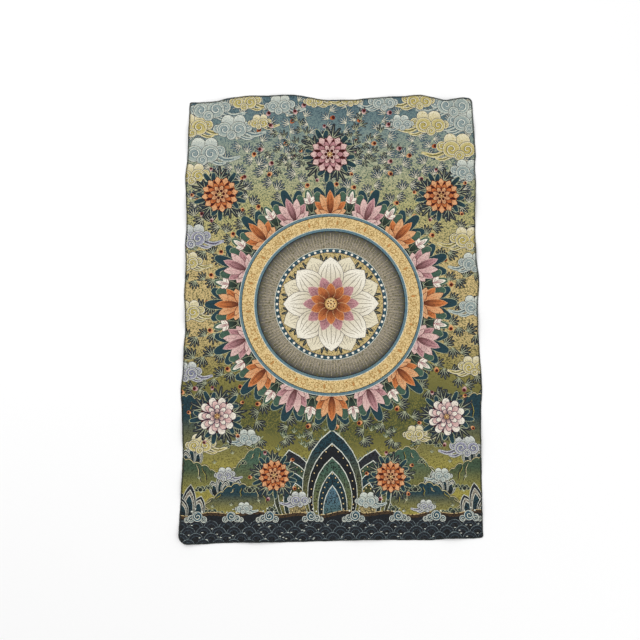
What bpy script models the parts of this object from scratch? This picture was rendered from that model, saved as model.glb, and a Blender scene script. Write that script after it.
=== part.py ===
"""A woven brocade thangka panel without its scroll mounting, laid out flat and face up.

The panel is one sheet of brocade. Its cut edge wanders by up to 14 mm, and four runs of dark overlock
thread wrap it, one run for each side. The cloth touches the surface over most of its underside and
rises in soft ripples, mostly along its edges, where the overlock thread has drawn them in.
Metres, +Z up, top of the design towards +Y. The origin is under the middle of the cloth's own box.
"""

from collections import namedtuple
from math import ceil, cos, pi, radians, sin

import bmesh
import bpy
from mathutils import Vector
from mathutils.geometry import delaunay_2d_cdt

# Driving sizes. The cut size includes the overlock edging.
CUT_WIDTH = 0.600
CUT_LENGTH = 0.900
CLOTH_THICK = 0.0010
EDGING_WIDE = 0.0035
EDGING_THICK = 0.0018
SEAM_GAP = 0.0003

# How finely the solids are faceted.
STATION = 0.013
ARC_STEPS = 4
FINE_PITCH = 0.017
COARSE_PITCH = 0.034
FINE_BAND = 0.085
LEAST_CLEARANCE = 0.008
SHARP_ANGLE = radians(35)

BROCADE_COLOR = (0.25, 0.24, 0.15, 1.0)
EDGING_COLOR = (0.022, 0.028, 0.025, 1.0)

# The sides in the order that the overlock runs, counter-clockwise seen from above. A row says how far the
# edge stands outside the straight side of the cut size, at a place counted from the middle of that side.
Row = namedtuple("Row", "at out")
Side = namedtuple("Side", "name axis faces half rows")
Corner = namedtuple("Corner", "x y radius")

SIDES = (
    Side("bottom", Vector((1, 0)), Vector((0, -1)), CUT_LENGTH / 2, (
        Row(-0.252, 0.0070),
        Row(-0.205, 0.0048),
        Row(-0.110, 0.0045),
        Row(-0.020, 0.0028),
        Row(0.080, 0.0009),
        Row(0.196, 0.0017),
        Row(0.232, -0.0010),
        Row(0.270, -0.0005),
    )),
    Side("right", Vector((0, 1)), Vector((1, 0)), CUT_WIDTH / 2, (
        Row(-0.400, -0.0038),
        Row(-0.330, -0.0028),
        Row(-0.255, -0.0024),
        Row(-0.200, -0.0004),
        Row(-0.150, 0.0029),
        Row(-0.095, 0.0008),
        Row(-0.037, -0.0018),
        Row(0.020, -0.0006),
        Row(0.064, 0.0033),
        Row(0.120, -0.0013),
        Row(0.215, -0.0010),
        Row(0.268, 0.0024),
        Row(0.305, 0.0016),
        Row(0.335, 0.0036),
        Row(0.395, 0.0008),
    )),
    Side("top", Vector((1, 0)), Vector((0, 1)), CUT_LENGTH / 2, (
        Row(0.281, 0.0054),
        Row(0.262, 0.0024),
        Row(0.241, -0.0018),
        Row(0.217, 0.0062),
        Row(0.190, 0.0118),
        Row(0.150, 0.0082),
        Row(0.090, 0.0058),
        Row(0.030, 0.0004),
        Row(-0.008, 0.0006),
        Row(-0.042, 0.0085),
        Row(-0.078, 0.0134),
        Row(-0.122, 0.0118),
        Row(-0.172, 0.0124),
        Row(-0.208, 0.0070),
        Row(-0.240, -0.0014),
    )),
    Side("left", Vector((0, 1)), Vector((-1, 0)), CUT_WIDTH / 2, (
        Row(0.400, -0.0054),
        Row(0.330, -0.0036),
        Row(0.289, 0.0005),
        Row(0.225, -0.0026),
        Row(0.184, -0.0036),
        Row(0.150, -0.0010),
        Row(0.100, -0.0028),
        Row(0.040, -0.0002),
        Row(0.000, -0.0030),
        Row(-0.036, -0.0032),
        Row(-0.064, -0.0010),
        Row(-0.110, 0.0001),
        Row(-0.153, 0.0040),
        Row(-0.200, 0.0012),
        Row(-0.270, -0.0014),
        Row(-0.340, 0.0001),
        Row(-0.422, 0.0040),
    )),
)

# Each side's far corner. Three are cut square, and the overlock has run round the fourth in one sweep.
CORNERS = (
    Corner(0.2970, -0.4475, 0.005),
    Corner(0.2992, 0.4524, 0.008),
    Corner(-0.2932, 0.4490, 0.005),
    Corner(-0.3046, -0.4585, 0.021),
)

# Where the cloth rises from the surface. A ripple is highest at x, y and runs out to nothing at half_long
# along its heading, in degrees from +X, and at half_wide across it. Those of an edge are centred on it.
Ripple = namedtuple("Ripple", "x y height half_long half_wide heading")

RIPPLES = (
    # top edge
    Ripple(-0.236, 0.451, 0.0055, 0.050, 0.070, 0),
    Ripple(-0.106, 0.464, 0.0028, 0.055, 0.060, 0),
    Ripple(0.012, 0.452, 0.0060, 0.050, 0.095, 4),
    Ripple(0.130, 0.457, 0.0028, 0.050, 0.055, 0),
    Ripple(0.243, 0.451, 0.0060, 0.034, 0.065, -8),
    # right edge
    Ripple(0.300, 0.392, 0.0030, 0.030, 0.045, 90),
    Ripple(0.300, 0.222, 0.0045, 0.050, 0.070, 94),
    Ripple(0.300, 0.126, 0.0032, 0.038, 0.055, 90),
    Ripple(0.298, -0.022, 0.0045, 0.060, 0.085, 86),
    Ripple(0.298, -0.262, 0.0042, 0.075, 0.065, 90),
    Ripple(0.296, -0.388, 0.0028, 0.044, 0.050, 90),
    # bottom edge
    Ripple(0.236, -0.449, 0.0040, 0.040, 0.055, 6),
    Ripple(0.062, -0.451, 0.0026, 0.070, 0.045, 0),
    Ripple(-0.150, -0.455, 0.0034, 0.060, 0.060, -5),
    # round corner
    Ripple(-0.303, -0.456, 0.0058, 0.060, 0.046, 45),
    # left edge
    Ripple(-0.301, -0.342, 0.0034, 0.045, 0.050, 90),
    Ripple(-0.300, -0.236, 0.0040, 0.048, 0.065, 84),
    Ripple(-0.300, -0.086, 0.0028, 0.034, 0.050, 90),
    Ripple(-0.297, -0.004, 0.0044, 0.040, 0.072, 92),
    Ripple(-0.298, 0.104, 0.0034, 0.045, 0.055, 90),
    Ripple(-0.297, 0.212, 0.0046, 0.054, 0.080, 96),
    Ripple(-0.295, 0.372, 0.0048, 0.060, 0.065, 90),
    # soft swells in the body of the cloth
    Ripple(-0.120, 0.240, 0.0022, 0.160, 0.060, 35),
    Ripple(0.140, 0.130, 0.0018, 0.150, 0.055, -25),
    Ripple(-0.060, -0.150, 0.0020, 0.180, 0.055, 12),
    Ripple(0.130, -0.300, 0.0020, 0.120, 0.050, 60),
)

# The overlock's section, from its inner foot out and round to its inner shoulder. A point is measured in
# from the cut edge and up from the underside of the cloth.
Point = namedtuple("Point", "inset height")

EDGING_SECTION = (
    Point(EDGING_WIDE, 0.0),
    Point(0.0006, 0.0),
    Point(0.0, 0.0006),
    Point(0.0, 0.0012),
    Point(0.0007, EDGING_THICK),
    Point(EDGING_WIDE, EDGING_THICK),
)


def smooth_out(rows, at):
    """How far the edge stands out at this place, on a smooth curve through the rows."""
    rows = sorted(rows)
    at = min(max(at, rows[0].at), rows[-1].at)
    i = max(k for k in range(len(rows) - 1) if rows[k].at <= at)
    a, b = rows[i], rows[i + 1]
    before, after = rows[max(i - 1, 0)], rows[min(i + 2, len(rows) - 1)]
    span = b.at - a.at
    slope_a = (b.out - before.out) / (b.at - before.at) * span
    slope_b = (after.out - a.out) / (after.at - a.at) * span
    t = (at - a.at) / span
    return (
        (2 * t**3 - 3 * t**2 + 1) * a.out
        + (t**3 - 2 * t**2 + t) * slope_a
        + (3 * t**2 - 2 * t**3) * b.out
        + (t**3 - t**2) * slope_b
    )


def with_corners(k):
    """Side k's rows with its two corners added as its first and last row."""
    side = SIDES[k]
    ends = [Vector((c.x, c.y)) for c in (CORNERS[k - 1], CORNERS[k])]
    first, last = (Row(end.dot(side.axis), end.dot(side.faces) - side.half) for end in ends)
    return (first, *side.rows, last)


def side_point(k, at):
    side = SIDES[k]
    return side.axis * at + side.faces * (side.half + smooth_out(with_corners(k), at))


def run_points(k):
    """The edge along side k and round its far corner, up to where side k + 1 starts to be straight."""
    rows = with_corners(k)
    way = 1 if rows[-1].at > rows[0].at else -1
    start = rows[0].at + way * CORNERS[k - 1].radius
    end = rows[-1].at - way * CORNERS[k].radius
    steps = ceil(abs(end - start) / STATION)
    points = [side_point(k, start + (end - start) * i / steps) for i in range(steps + 1)]

    following = (k + 1) % len(SIDES)
    next_rows = with_corners(following)
    next_way = 1 if next_rows[-1].at > next_rows[0].at else -1
    corner = Vector((CORNERS[k].x, CORNERS[k].y))
    back = points[-1] - corner
    ahead = side_point(following, next_rows[0].at + next_way * CORNERS[k].radius) - corner
    for i in range(1, ARC_STEPS):
        turn = pi / 2 * i / ARC_STEPS
        points.append(corner + back * (1 - sin(turn)) + ahead * (1 - cos(turn)))
    return points


def bump(distance, reach):
    return cos(pi / 2 * distance / reach) ** 2 if abs(distance) < reach else 0.0


def lift(x, y):
    """How high the underside of the cloth is above the surface."""
    rise = 0.0
    for r in RIPPLES:
        heading = radians(r.heading)
        along = (x - r.x) * cos(heading) + (y - r.y) * sin(heading)
        across = (y - r.y) * cos(heading) - (x - r.x) * sin(heading)
        rise += r.height * bump(along, r.half_long) * bump(across, r.half_wide)
    return rise


def inward_normals(loop):
    normals = []
    for before, after in zip(loop[-1:] + loop[:-1], loop[1:] + loop[:1]):
        along = (after - before).normalized()
        normals.append(Vector((-along.y, along.x)))
    return normals


def new_object(name, mesh, material, centre):
    """Adds the finished bmesh to the scene, moved so that the middle of the cloth is over the origin."""
    bmesh.ops.recalc_face_normals(mesh, faces=mesh.faces[:])
    data = bpy.data.meshes.new(name)
    mesh.to_mesh(data)
    mesh.free()
    data.shade_smooth()
    data.set_sharp_from_angle(angle=SHARP_ANGLE)
    data.materials.append(material)
    piece = bpy.data.objects.new(name, data)
    piece.location = (-centre.x, -centre.y, 0)
    bpy.context.scene.collection.objects.link(piece)


def grid_lines(half):
    """Places from -half to half, fine near both ends and coarse between them."""
    middle = half - FINE_BAND
    coarse, fine = ceil(2 * middle / COARSE_PITCH), ceil(FINE_BAND / FINE_PITCH)
    inner = [-middle + 2 * middle * i / coarse for i in range(coarse + 1)]
    outer = [middle + FINE_BAND * i / fine for i in range(1, fine)]
    return [-place for place in reversed(outer)] + inner + outer


def inner_points(loop):
    """The grid points that lie inside the loop and well clear of it."""
    points = []
    for x in grid_lines(CUT_WIDTH / 2):
        for y in grid_lines(CUT_LENGTH / 2):
            place = Vector((x, y))
            near = min(range(len(loop)), key=lambda i: (loop[i] - place).length_squared)
            outward = (loop[near] - place).normalized()
            if (loop[near] - place).length > LEAST_CLEARANCE and outward.dot(loop[near]) > 0:
                points.append(place)
    return points


def make_panel(loop, material, centre):
    """The brocade: a sheet of even thickness that follows the ripples, flat wherever it touches."""
    edge = [point + inward * (EDGING_WIDE + SEAM_GAP) for point, inward in zip(loop, inward_normals(loop))]
    flat, _, faces, *_ = delaunay_2d_cdt(
        edge + inner_points(edge), [], [list(range(len(edge)))], 1, 1e-7
    )
    mesh = bmesh.new()
    corners = [mesh.verts.new((p.x, p.y, lift(p.x, p.y))) for p in flat]
    underside = [mesh.faces.new([corners[i] for i in face]) for face in faces]
    made = bmesh.ops.extrude_face_region(mesh, geom=underside)["geom"]
    upper = [v for v in made if isinstance(v, bmesh.types.BMVert)]
    bmesh.ops.translate(mesh, verts=upper, vec=(0, 0, CLOTH_THICK))
    new_object("woven_panel", mesh, material, centre)


def make_edging(name, line, normals, material, centre):
    """One run of overlock thread, with its section bridged from station to station and capped."""
    half_gap = SEAM_GAP / 2
    line = list(line)
    line[0] = line[0] + (line[1] - line[0]).normalized() * half_gap
    line[-1] = line[-1] + (line[-2] - line[-1]).normalized() * half_gap
    mesh = bmesh.new()
    rings = []
    for place, inward in zip(line, normals):
        ring = []
        for point in EDGING_SECTION:
            x, y = place + inward * point.inset
            ring.append(mesh.verts.new((x, y, lift(x, y) + point.height)))
        rings.append(ring)
    for a, b in zip(rings, rings[1:]):
        for i in range(len(EDGING_SECTION)):
            mesh.faces.new((a[i - 1], a[i], b[i], b[i - 1]))
    mesh.faces.new(rings[0])
    mesh.faces.new(rings[-1][::-1])
    new_object(name, mesh, material, centre)


def fabric(name, color, roughness):
    material = bpy.data.materials.new(name)
    material.use_nodes = True
    shader = material.node_tree.nodes["Principled BSDF"]
    shader.inputs["Base Color"].default_value = color
    shader.inputs["Roughness"].default_value = roughness
    shader.inputs["Metallic"].default_value = 0.0
    return material


def build():
    for old in list(bpy.data.objects):
        bpy.data.objects.remove(old)
    brocade = fabric("brocade", BROCADE_COLOR, 0.75)
    thread = fabric("overlock thread", EDGING_COLOR, 0.85)

    runs = [run_points(k) for k in range(len(SIDES))]
    loop = [point for run in runs for point in run]
    normals = inward_normals(loop)
    across, up = [p.x for p in loop], [p.y for p in loop]
    centre = Vector(((min(across) + max(across)) / 2, (min(up) + max(up)) / 2))

    make_panel(loop, brocade, centre)
    start = 0
    for side, run in zip(SIDES, runs):
        places = [(start + i) % len(loop) for i in range(len(run) + 1)]
        make_edging(
            f"overlock_{side.name}",
            [loop[i] for i in places],
            [normals[i] for i in places],
            thread,
            centre,
        )
        start += len(run)


build()
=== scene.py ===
# %% [markdown]
# # A woven thangka panel, laid out flat
#
# A thangka is a scroll picture on cloth. This one is a brocade: the loom makes the whole picture from
# coloured threads, and the panel is sold before it is sewn into its silk mounting. It lies face up, with an
# edge that was cut by hand and overlocked in dark thread.
#
# The lesson goes from the flat cut of the cloth to its ripples, then to the design, the cloth's mesh, its
# weave, the overlock and the studio. It starts from a frame of plain solids that already have the real size.
# Nothing here moves them: each new piece takes the place of one.

# %% Load the frame
from collections import namedtuple
from math import ceil, cos, pi, radians, sin

import bpy
import numpy as np
from mathutils import Matrix, Vector
from mathutils.bvhtree import BVHTree
from mathutils.geometry import delaunay_2d_cdt


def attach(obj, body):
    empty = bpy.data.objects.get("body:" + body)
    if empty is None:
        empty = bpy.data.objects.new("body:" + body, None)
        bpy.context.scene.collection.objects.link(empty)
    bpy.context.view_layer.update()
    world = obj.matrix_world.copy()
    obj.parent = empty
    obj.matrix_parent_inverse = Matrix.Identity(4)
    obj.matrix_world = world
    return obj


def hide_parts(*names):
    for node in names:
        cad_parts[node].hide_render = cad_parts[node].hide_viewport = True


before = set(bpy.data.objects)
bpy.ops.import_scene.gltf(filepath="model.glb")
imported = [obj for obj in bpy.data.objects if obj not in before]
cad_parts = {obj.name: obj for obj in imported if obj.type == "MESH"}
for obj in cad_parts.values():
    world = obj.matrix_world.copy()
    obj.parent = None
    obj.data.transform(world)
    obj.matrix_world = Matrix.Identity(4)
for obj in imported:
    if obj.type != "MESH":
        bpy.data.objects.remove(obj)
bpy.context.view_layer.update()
bpy.ops.object.select_all(action="DESELECT")

# %% [markdown]
# ## The camera
#
# The panel was photographed from above, a little below its middle, with the camera leaning 7 degrees. That
# makes the bottom edge a touch wider than the top. A camera is placed in one step by a matrix: first its own
# turns, then its place. Blender's camera looks down its own -Z.

# %% Place the camera
CAMERA_PLACE = (-0.0184, -0.2404, 1.7925)
LEAN, SWING, ROLL = radians(7.14), radians(0.12), radians(-0.37)
LENS = 50


def put_in_scene(name, data):
    """Makes an object of a mesh, curve, lamp or camera, and puts it in the scene."""
    made = bpy.data.objects.new(name, data)
    bpy.context.scene.collection.objects.link(made)
    return made


camera = put_in_scene("camera", bpy.data.cameras.new("camera"))
camera.data.lens = LENS
turns = Matrix.Rotation(LEAN, 3, "X") @ Matrix.Rotation(SWING, 3, "Y") @ Matrix.Rotation(ROLL, 3, "Z")
camera.matrix_world = Matrix.Translation(CAMERA_PLACE) @ turns.to_4x4()
bpy.context.scene.camera = camera
print("camera:", LENS, "mm lens at", CAMERA_PLACE)

# %% [markdown]
# ## The cut edge
#
# The cloth was meant to be a plain rectangle, 600 by 900 mm. Scissors wander, and the overlock machine pulls,
# so each side is a gentle curve. A row of the table says how far the edge stands outside the straight side,
# in metres, at a place counted from that side's middle. The solids were made from the same rows.
#
# Points of the plane are written as complex numbers, x + yj. A turn is then one multiplication, which keeps
# every drawing below short.

# %% The table of the cut
CUT_WIDTH, CUT_LENGTH = 0.600, 0.900

Side = namedtuple("Side", "name along faces half rows")
Corner = namedtuple("Corner", "place radius")

SIDES = (
    Side("bottom", 1, -1j, CUT_LENGTH / 2, (
        (-0.252, 0.0070), (-0.205, 0.0048), (-0.110, 0.0045), (-0.020, 0.0028), (0.080, 0.0009),
        (0.196, 0.0017), (0.232, -0.0010), (0.270, -0.0005),
    )),
    Side("right", 1j, 1, CUT_WIDTH / 2, (
        (-0.400, -0.0038), (-0.330, -0.0028), (-0.255, -0.0024), (-0.200, -0.0004), (-0.150, 0.0029),
        (-0.095, 0.0008), (-0.037, -0.0018), (0.020, -0.0006), (0.064, 0.0033), (0.120, -0.0013),
        (0.215, -0.0010), (0.268, 0.0024), (0.305, 0.0016), (0.335, 0.0036), (0.395, 0.0008),
    )),
    Side("top", 1, 1j, CUT_LENGTH / 2, (
        (0.281, 0.0054), (0.262, 0.0024), (0.241, -0.0018), (0.217, 0.0062), (0.190, 0.0118),
        (0.150, 0.0082), (0.090, 0.0058), (0.030, 0.0004), (-0.008, 0.0006), (-0.042, 0.0085),
        (-0.078, 0.0134), (-0.122, 0.0118), (-0.172, 0.0124), (-0.208, 0.0070), (-0.240, -0.0014),
    )),
    Side("left", 1j, -1, CUT_WIDTH / 2, (
        (0.400, -0.0054), (0.330, -0.0036), (0.289, 0.0005), (0.225, -0.0026), (0.184, -0.0036),
        (0.150, -0.0010), (0.100, -0.0028), (0.040, -0.0002), (0.000, -0.0030), (-0.036, -0.0032),
        (-0.064, -0.0010), (-0.110, 0.0001), (-0.153, 0.0040), (-0.200, 0.0012), (-0.270, -0.0014),
        (-0.340, 0.0001), (-0.422, 0.0040),
    )),
)
CORNERS = (
    Corner(0.2970 - 0.4475j, 0.005),
    Corner(0.2992 + 0.4524j, 0.008),
    Corner(-0.2932 + 0.4490j, 0.005),
    Corner(-0.3046 - 0.4585j, 0.021),
)
STATION = 0.004
ARC_STEPS = 8
print("table:", sum(len(side.rows) for side in SIDES), "rows on", len(SIDES), "sides")


# %% Walk round the cut
def part_of(place, direction):
    """How far a point reaches in a direction of length 1."""
    return (place * np.conj(direction)).real


def edge_rows(k):
    """Side k's rows with its two corners added at the ends."""
    side = SIDES[k]
    ends = [(part_of(c.place, side.along), part_of(c.place, side.faces) - side.half)
            for c in (CORNERS[k - 1], CORNERS[k])]
    return [ends[0], *side.rows, ends[1]]


def straight_ends(k):
    """The places where side k leaves one rounded corner and reaches the next."""
    first, *_, last = (row[0] for row in edge_rows(k))
    way = 1 if last > first else -1
    return first + way * CORNERS[k - 1].radius, last - way * CORNERS[k].radius


def edge_point(k, at):
    """The point of side k at this place, on a smooth curve through the rows."""
    side, rows = SIDES[k], sorted(edge_rows(k))
    at = min(max(at, rows[0][0]), rows[-1][0])
    i = max(n for n in range(len(rows) - 1) if rows[n][0] <= at)
    (x0, y0), (x1, y1) = rows[i], rows[i + 1]
    before, after = rows[max(i - 1, 0)], rows[min(i + 2, len(rows) - 1)]
    slope0 = (y1 - before[1]) / (x1 - before[0]) * (x1 - x0)
    slope1 = (after[1] - y0) / (after[0] - x0) * (x1 - x0)
    t = (at - x0) / (x1 - x0)
    out = ((2 * t**3 - 3 * t**2 + 1) * y0 + (t**3 - 2 * t**2 + t) * slope0
           + (3 * t**2 - 2 * t**3) * y1 + (t**3 - t**2) * slope1)
    return side.along * at + side.faces * (side.half + out)


def side_points(k):
    """Side k from corner to corner, and round its far corner."""
    start, end = straight_ends(k)
    steps = ceil(abs(end - start) / STATION)
    points = [edge_point(k, start + (end - start) * i / steps) for i in range(steps + 1)]
    corner, following = CORNERS[k].place, (k + 1) % 4
    back = points[-1] - corner
    ahead = edge_point(following, straight_ends(following)[0]) - corner
    for i in range(1, ARC_STEPS):
        turn = pi / 2 * i / ARC_STEPS
        points.append(corner + back * (1 - sin(turn)) + ahead * (1 - cos(turn)))
    return points


def area_of(ring):
    return float((ring.conj() * np.roll(ring, -1)).imag.sum() / 2)


side_runs = [side_points(k) for k in range(4)]
cut_edge = np.array([p for run in side_runs for p in run])
centre = complex(*((reach.min() + reach.max()) / 2 for reach in (cut_edge.real, cut_edge.imag)))
print("cut:", len(cut_edge), "points,", round(area_of(cut_edge), 4), "square metres")

# %% [markdown]
# ## Ripples
#
# Overlock thread is tighter than the cloth, so the edges of a loose panel rise in little waves, highest at
# the edge and flat again a few centimetres inside. A raised cosine makes such a wave: it leaves the floor
# without a kink and returns to it the same way. `lift` adds them all up for any points, and gives zero over
# most of the cloth, which really does lie on the floor.

# %% The table of ripples
Ripple = namedtuple("Ripple", "x y height half_long half_wide heading")

RIPPLES = [Ripple(*row) for row in (
    # top edge
    (-0.236, 0.451, 0.0055, 0.050, 0.070, 0),
    (-0.106, 0.464, 0.0028, 0.055, 0.060, 0),
    (0.012, 0.452, 0.0060, 0.050, 0.095, 4),
    (0.130, 0.457, 0.0028, 0.050, 0.055, 0),
    (0.243, 0.451, 0.0060, 0.034, 0.065, -8),
    # right edge
    (0.300, 0.392, 0.0030, 0.030, 0.045, 90),
    (0.300, 0.222, 0.0045, 0.050, 0.070, 94),
    (0.300, 0.126, 0.0032, 0.038, 0.055, 90),
    (0.298, -0.022, 0.0045, 0.060, 0.085, 86),
    (0.298, -0.262, 0.0042, 0.075, 0.065, 90),
    (0.296, -0.388, 0.0028, 0.044, 0.050, 90),
    # bottom edge and the round corner
    (0.236, -0.449, 0.0040, 0.040, 0.055, 6),
    (0.062, -0.451, 0.0026, 0.070, 0.045, 0),
    (-0.150, -0.455, 0.0034, 0.060, 0.060, -5),
    (-0.303, -0.456, 0.0058, 0.060, 0.046, 45),
    # left edge
    (-0.301, -0.342, 0.0034, 0.045, 0.050, 90),
    (-0.300, -0.236, 0.0040, 0.048, 0.065, 84),
    (-0.300, -0.086, 0.0028, 0.034, 0.050, 90),
    (-0.297, -0.004, 0.0044, 0.040, 0.072, 92),
    (-0.298, 0.104, 0.0034, 0.045, 0.055, 90),
    (-0.297, 0.212, 0.0046, 0.054, 0.080, 96),
    (-0.295, 0.372, 0.0048, 0.060, 0.065, 90),
    # soft swells in the body of the cloth
    (-0.120, 0.240, 0.0022, 0.160, 0.060, 35),
    (0.140, 0.130, 0.0018, 0.150, 0.055, -25),
    (-0.060, -0.150, 0.0020, 0.180, 0.055, 12),
    (0.130, -0.300, 0.0020, 0.120, 0.050, 60),
)]


def wave(distance, reach):
    return np.where(np.abs(distance) < reach, np.cos(pi / 2 * distance / reach) ** 2, 0.0)


def lift(p):
    """How high the cloth's underside is above the floor at the points p."""
    rise = np.zeros(np.shape(p))
    for r in RIPPLES:
        q = (p - complex(r.x, r.y)) * np.exp(-1j * radians(r.heading))
        rise = rise + r.height * wave(q.real, r.half_long) * wave(q.imag, r.half_wide)
    return rise


print("ripples:", len(RIPPLES), "highest", round(float(lift(cut_edge).max()) * 1000, 1), "mm")

# %% [markdown]
# ## Dyed threads
#
# A jacquard loom gets all its shades from a few weft colours, mixed as specks, and all a little dusty because
# polyester thread scatters light. Here each shade is named once, as an ordinary colour code. Blender's
# shaders add and multiply light, so the codes are turned into linear light values first.

# %% The dye list
DYE_CODES = {
    "night sky": "5a727a", "sky": "768a86", "haze": "afb093", "olive": "b9b179", "straw": "ceb67f",
    "meadow": "8c8448", "hill": "4a5030", "deep hill": "2f3322", "water": "1b2027", "ink": "131416",
    "cloud": "b7bfb2", "cloud shade": "809193", "cloud deep": "536a74", "cloud line": "dde0d2",
    "lilac": "b3b0bb", "dusk": "74788f", "cream cloud": "e8e0c4", "dun cloud": "d2c796",
    "olive cloud": "b2a153", "dark olive": "5d5a36", "gold": "e7cb92", "old gold": "a5864d",
    "amber": "c48a4e", "slate": "a49a89", "teal": "547585", "deep teal": "21404a", "pine": "466353",
    "moss": "80793c", "grass": "a59a4b", "bank": "4a3826", "cream": "e8dfc4", "ivory": "f4eedd",
    "buff": "c0b18d", "orange": "cc7843", "apricot": "e2ad7e", "rust": "93391f", "maroon": "430f10",
    "pink": "c08d90", "shell": "e3c1b9", "rose": "9a5660", "leaf": "2b3038", "fresh leaf": "425642",
    "leaf line": "b3b896", "plum": "433e50",
}


def linear(code):
    share = np.array([int(code[i:i + 2], 16) for i in (0, 2, 4)]) / 255
    return np.where(share < 0.04045, share / 12.92, ((share + 0.055) / 1.055) ** 2.4)


DYES = {name: linear(code) for name, code in DYE_CODES.items()}
print("dyes:", len(DYES))

# %% [markdown]
# ## How the design is drawn
#
# The picture could be painted as an image, but then it would blur up close. Instead each motif is an outline,
# a ring of points in millimetres, and `weave` lays it over what came before, like cut paper. In the end all
# the outlines are cut into the cloth's own mesh, so an edge stays sharp from any distance.
#
# A shape has a main thread, a second thread that shows through as specks, and the share of the specks. Both
# threads may change across the shape: `fade` goes along a line and `halo` goes out from a centre.

# %% Shapes and their colours
Shape = namedtuple("Shape", "ring thread speck share")
DEEPER = 0.45
design = []


def between(near, far, t):
    """The dye near where t is 0, the dye far where it is 1, and a blend of them between."""
    t = np.clip(t, 0, 1)[:, None]
    return DYES[near] * (1 - t) + DYES[far] * t


def fade(near, far, start, end):
    """A colour that goes from the dye near, at start, to the dye far, at end."""
    return lambda p: between(near, far, ((p - start) / (end - start)).real)


def halo(near, far, middle, radius, power=1.0):
    """A colour that goes from the dye near, in the middle, to the dye far, at the radius."""
    return lambda p: between(near, far, (np.abs(p - middle) / radius) ** power)


def as_colour(dye):
    return dye if callable(dye) else lambda p: np.tile(DYES[dye], (len(p), 1))


def weave(ring, thread, speck=None, share=0.16):
    """Lays one shape on the design, with its ring turned anticlockwise. Its specks are darker by default."""
    ring = np.asarray(ring, complex)
    if area_of(ring) < 0:
        ring = ring[::-1]
    colour = as_colour(thread)
    design.append(Shape(ring, colour, as_colour(speck) if speck else lambda p: DEEPER * colour(p), share))


def mirrored(colour):
    return lambda p: colour(-p.conj())


def on_both_sides(draw):
    """Runs draw, then lays a mirror image of all that it drew."""
    first = len(design)
    draw()
    for s in design[first:]:
        design.append(Shape(-s.ring.conj()[::-1], mirrored(s.thread), mirrored(s.speck), s.share))


print("a shape holds:", Shape._fields)


# %% Discs, lines and spirals
def polar(radius, heading):
    """The point at this distance and heading, in degrees anticlockwise from +X."""
    return radius * np.exp(1j * np.radians(heading))


def disc(at, radius, *dyes):
    """Weaves a round spot. Its dyes are what weave takes after the ring."""
    steps = int(min(max(6 * radius**0.5, 8), 112))
    weave(at + polar(radius, np.arange(steps) * 360 / steps), *dyes)


def line_along(points, width, taper=0.35):
    """The outline of a line through the points, which thins out at both ends where taper isn't 0."""
    points = np.asarray(points, complex)
    along = np.gradient(points)
    swell = np.sin(pi * np.linspace(0.06, 0.94, len(points))) ** taper
    half = 0.5j * width * swell * along / np.abs(along)
    return np.concatenate([points - half, (points + half)[::-1]])


def line(points, width, *dyes):
    """Weaves a line through the points, in the dyes that weave takes."""
    weave(line_along(points, width), *dyes)


def spiral(at, radius, turns, heading, inner, steps=18):
    """Points that wind in from the radius to the share inner of it."""
    t = np.linspace(0, 1, steps)
    return at + polar(radius * (1 - (1 - inner) * t), heading + 360 * turns * t)


print("drawing helpers are ready")

# %% [markdown]
# ## Petals and leaves
#
# Nearly all the flowers are made from one curve. A cubic Bezier curve runs from the petal's root to its tip,
# and its mirror image is the other side. Moving one control point makes the tip sharp or blunt. Woven petals
# have a pale rim, so a petal is drawn twice: the rim's colour first, then a smaller one inside it.

# %% The petal
def petal_ring(length, width, blunt=False, steps=7):
    t = np.linspace(0, 1, steps + 1)
    belly = 1.07 + 0.62j if blunt else 0.72 + 0.76j
    side = 3 * (1 - t) ** 2 * t * (0.10 + 0.62j) + 3 * (1 - t) * t**2 * belly + t**3
    side = side.real * length + 1j * side.imag * width
    return np.concatenate([side.conj(), side[-2:0:-1]])


def petal(at, heading, length, width, body, root, rim, blunt=False, rim_wide=1.0, vein=None, veins=1,
          share=0.16):
    """A petal that points along its heading, shaded from the root to the body colour."""
    turn = polar(1, heading)
    weave(at + turn * petal_ring(length, width, blunt), rim)
    inside = petal_ring(length - 2.3 * rim_wide, width - 2 * rim_wide, blunt) + 1.1 * rim_wide
    weave(at + turn * inside, fade(root, body, at, at + turn * 0.75 * length), share=share)
    if vein:
        t = np.linspace(0.14, 0.8, 4)
        for k in range(veins):
            off = (k - (veins - 1) / 2) / veins
            spine = length * t * (1 - 0.4 * off**2) + 1j * off * width * np.sin(pi * t**0.8)
            weave(at + turn * line_along(spine, 0.02 * width + 0.5), vein)


def fan(count, spread):
    """The number and lean of each part of a fan, from its outer parts to its middle one."""
    order = sorted(range(count), key=lambda i: -abs(i - (count - 1) / 2))
    return [(i, spread * (i / (count - 1) - 0.5)) for i in order]


print("a petal has", len(petal_ring(1, 1)), "points")


# %% Leaves, sprigs and buds
STALK_WIDTH = 1.3
PALER = {"orange": "apricot", "rose": "shell", "rust": "orange"}


def needle(at, heading, length, width, body, rib):
    """One dark lobe of a leaf with a pale rib."""
    turn = polar(1, heading)
    weave(at + turn * petal_ring(length, width, True, 4), body, share=0.3)
    weave(at + turn * np.array([0.05 * length - 1j, 0.9 * length, 0.05 * length + 1j]), rib)


def sprig(at, heading, size, leaves, spread, body="leaf", rib="leaf line"):
    """A tuft of needles that fans out from one point."""
    for _, lean in fan(leaves, spread):
        needle(at, heading + lean, size * (1 - 0.4 * abs(lean) / spread), 0.26 * size, body, rib)


def bud(at, heading, size, body):
    """A pale bud with a round dark mouth."""
    turn = polar(1, heading)
    shade = fade(PALER[body], body, at, at + turn * 0.7 * size)
    weave(at + turn * petal_ring(size, 0.85 * size, True, 4), shade)
    disc(at + turn * 0.66 * size, 0.27 * size, "maroon")


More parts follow.
